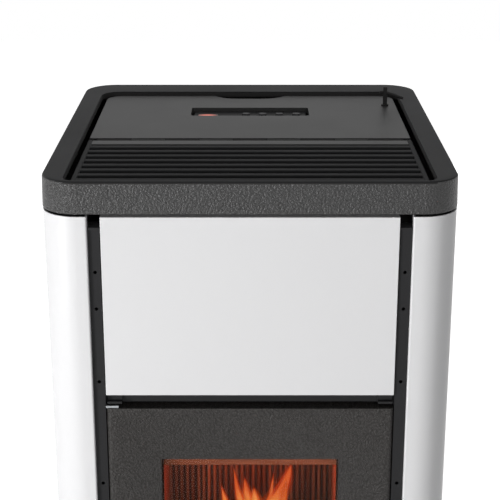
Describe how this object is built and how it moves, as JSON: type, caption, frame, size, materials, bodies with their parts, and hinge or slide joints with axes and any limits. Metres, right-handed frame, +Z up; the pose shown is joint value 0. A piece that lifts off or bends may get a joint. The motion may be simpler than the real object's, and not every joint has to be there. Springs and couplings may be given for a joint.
{
  "type": "pellet stove",
  "caption": "Upright room heater burning wood pellets: glazed cast door, ash drawer, top-loading hopper under a slotted lid, warm-air grille and rear flue spigot.",
  "frame": {"origin": "centre of the overall outline, on the floor under the feet", "axes": "+Z up, -Y towards the front with the glazed door, +X to the right seen from the front"},
  "size_m": [0.5, 0.64, 0.983],
  "materials": {
    "white_enamel": "smooth white enamelled sheet steel",
    "cast_iron": "dark grey cast iron, pebbled, heat-resistant paint",
    "dark_paint": "dark grey powder coat",
    "lid_paint": "fine-grained dark grey paint on sheet steel",
    "zinc_steel": "zinc-coated sheet steel",
    "dark_steel": "black heat-resistant paint on steel",
    "handle_steel": "dark brushed steel",
    "liner_steel": "heat-tinted ribbed firebox liner",
    "ceramic_glass": "smoke-tinted ceramic glass",
    "fibre": "braided glass-fibre rope",
    "rubber": "black rubber",
    "plastic": "black moulded plastic",
    "red_lens": "lit red display window",
    "key_plastic": "grey moulded key"
  },
  "bodies": {
    "stove": {"base_plate": "dark_paint", "front_post_left": "dark_paint", "front_post_right": "dark_paint", "side_panel_right": "white_enamel", "side_panel_left": "white_enamel", "front_panel_upper": "white_enamel", "panel_rail": "dark_paint", "rear_panel": "dark_paint", "deck_plate": "dark_paint", "top_rim": "cast_iron", "warm_air_grille": "cast_iron", "lid_hinge": "dark_steel", "hopper": "zinc_steel", "hopper_grid": "zinc_steel", "auger_tube": "zinc_steel", "auger_motor": "dark_steel", "pellet_chute": "zinc_steel", "firebox_shell": "dark_steel", "rib_liner_back": "liner_steel", "side_liner_right": "liner_steel", "side_liner_left": "liner_steel", "burn_pot_support": "dark_steel", "igniter": "zinc_steel", "heat_exchanger": "dark_steel", "flue_fan_housing": "zinc_steel", "flue_outlet": "dark_paint", "air_inlet": "zinc_steel", "room_fan_housing": "zinc_steel", "control_board": "plastic", "power_inlet": "plastic", "control_panel": "plastic", "display_lens": "red_lens", "latch_keeper": "zinc_steel", "hinge_bracket_upper": "zinc_steel", "hinge_bracket_lower": "zinc_steel", "firebox_stand_right": "dark_steel", "firebox_stand_left": "dark_steel", "foot_front_left": "rubber", "foot_front_right": "rubber", "foot_rear_left": "rubber", "foot_rear_right": "rubber"},
    "door": {"door_frame": "cast_iron", "door_glass": "ceramic_glass", "glass_retainer": "zinc_steel", "door_gasket": "fibre"},
    "handle": {"door_handle": "handle_steel"},
    "drawer": {"ash_drawer": "zinc_steel", "ash_drawer_front": "white_enamel"},
    "lid": {"hopper_lid": "lid_paint", "lid_seal": "fibre"},
    "catch": {"lid_catch": "dark_steel"},
    "burn_pot": {"burn_pot": "cast_iron"},
    "key_1": {"button_1": "key_plastic"},
    "key_2": {"button_2": "key_plastic"},
    "key_3": {"button_3": "key_plastic"},
    "key_4": {"button_4": "key_plastic"},
    "switch": {"power_switch": "plastic"},
    "auger": {"auger_screw": "zinc_steel"},
    "flue_fan": {"flue_fan_wheel": "zinc_steel"},
    "room_fan": {"room_fan_wheel": "zinc_steel"}
  },
  "joints": [
    {"name": "door_swing", "type": "hinge", "parent": "stove", "child": "door", "pos_m": [-0.1705, -0.2665, 0.468], "axis": [0, 0, -1], "range_deg": [0, 100]},
    {"name": "handle_turn", "type": "hinge", "parent": "door", "child": "handle", "pos_m": [0.165, -0.29, 0.47], "axis": [0, 1, 0], "range_deg": [0, 90]},
    {"name": "drawer_slide", "type": "slide", "parent": "stove", "child": "drawer", "axis": [0, -1, 0], "range_m": [0, 0.22]},
    {"name": "lid_swing", "type": "hinge", "parent": "stove", "child": "lid", "pos_m": [0, -0.0495, 0.951], "axis": [1, 0, 0], "range_deg": [0, 95]},
    {"name": "catch_turn", "type": "hinge", "parent": "lid", "child": "catch", "pos_m": [0.197, 0.148, 0.955], "axis": [0, 0, 1], "range_deg": [0, 90]},
    {"name": "burn_pot_lift", "type": "slide", "parent": "stove", "child": "burn_pot", "axis": [0, 0, 1], "range_m": [0, 0.08]},
    {"name": "button_1_press", "type": "slide", "parent": "stove", "child": "key_1", "axis": [0, 0, -1], "range_m": [0, 0.0012], "stiffness_N_per_m": 400},
    {"name": "button_2_press", "type": "slide", "parent": "stove", "child": "key_2", "axis": [0, 0, -1], "range_m": [0, 0.0012], "stiffness_N_per_m": 400},
    {"name": "button_3_press", "type": "slide", "parent": "stove", "child": "key_3", "axis": [0, 0, -1], "range_m": [0, 0.0012], "stiffness_N_per_m": 400},
    {"name": "button_4_press", "type": "slide", "parent": "stove", "child": "key_4", "axis": [0, 0, -1], "range_m": [0, 0.0012], "stiffness_N_per_m": 400},
    {"name": "power_switch_rock", "type": "hinge", "parent": "stove", "child": "switch", "pos_m": [0.119, 0.2685, 0.066], "axis": [1, 0, 0], "range_deg": [-5, 5]},
    {"name": "auger_spin", "type": "hinge", "parent": "stove", "child": "auger", "pos_m": [0, 0.214, 0.516], "axis": [0, -0.7071, 0.7071], "continuous": true},
    {"name": "flue_fan_spin", "type": "hinge", "parent": "stove", "child": "flue_fan", "pos_m": [0.12, 0.2, 0.2], "axis": [0, 1, 0], "continuous": true},
    {"name": "room_fan_spin", "type": "hinge", "parent": "stove", "child": "room_fan", "pos_m": [-0.096, 0.17, 0.108], "axis": [1, 0, 0], "continuous": true}
  ]
}
